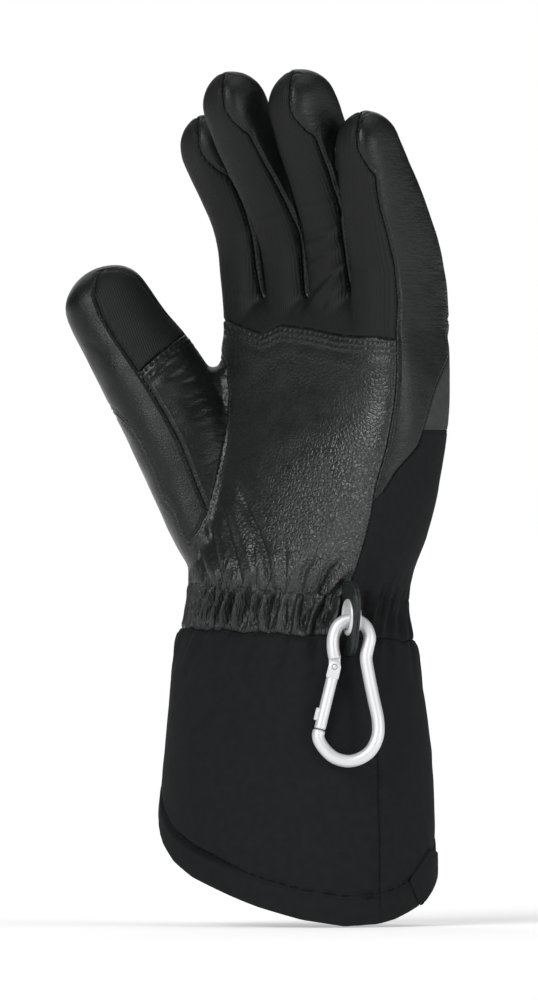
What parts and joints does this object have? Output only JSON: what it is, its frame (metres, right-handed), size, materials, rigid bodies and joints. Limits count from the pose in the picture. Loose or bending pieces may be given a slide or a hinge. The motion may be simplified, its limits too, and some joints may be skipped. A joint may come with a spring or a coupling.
{
  "type": "cycling glove",
  "caption": "Left-hand winter glove of leather and softshell with curled fingers, a gathered wrist, a long flared cuff and a snap hook on an eyelet tab.",
  "frame": {"origin": "middle of the gathered wrist, where the hand holds the glove up", "axes": "+Z towards the fingertips, -Y out of the palm, -X on the thumb side, +X on the little-finger side"},
  "size_m": [0.1551, 0.1022, 0.3417],
  "materials": {
    "leather": "satin",
    "ribbed_cloth": "matte",
    "softshell": "matte",
    "grey_cloth": "matte",
    "tab_leather": "satin",
    "metal": "satin"
  },
  "bodies": {
    "glove": {"palm": "leather", "finger_front": "ribbed_cloth", "index_wrap": "leather", "middle_wrap": "leather", "ring_wrap": "leather", "side_panel": "leather", "thumb_pad": "ribbed_cloth", "thumb_base": "leather", "thumb_wrap": "leather", "back_insert": "grey_cloth", "back_shell": "softshell", "cuff_front": "softshell", "cuff_back": "softshell", "hem_band": "softshell", "pull_tab": "softshell", "hang_tab": "tab_leather", "eyelet": "metal"},
    "hook": {"snap_hook": "metal"},
    "gate": {"snap_gate": "metal"}
  },
  "joints": [
    {"name": "hook_swing", "type": "hinge", "parent": "glove", "child": "hook", "pos_m": [0.0531, -0.02256, -0.0074], "axis": [-0.7071, -0.7071, 0], "range_deg": [0, 80]},
    {"name": "gate_open", "type": "hinge", "parent": "hook", "child": "gate", "pos_m": [0.04955, -0.02848, -0.02653], "axis": [0.7044, -0.7044, 0.0872], "range_deg": [0, 25], "stiffness_Nm_per_rad": 0.004, "springref_deg": -34.38}
  ]
}
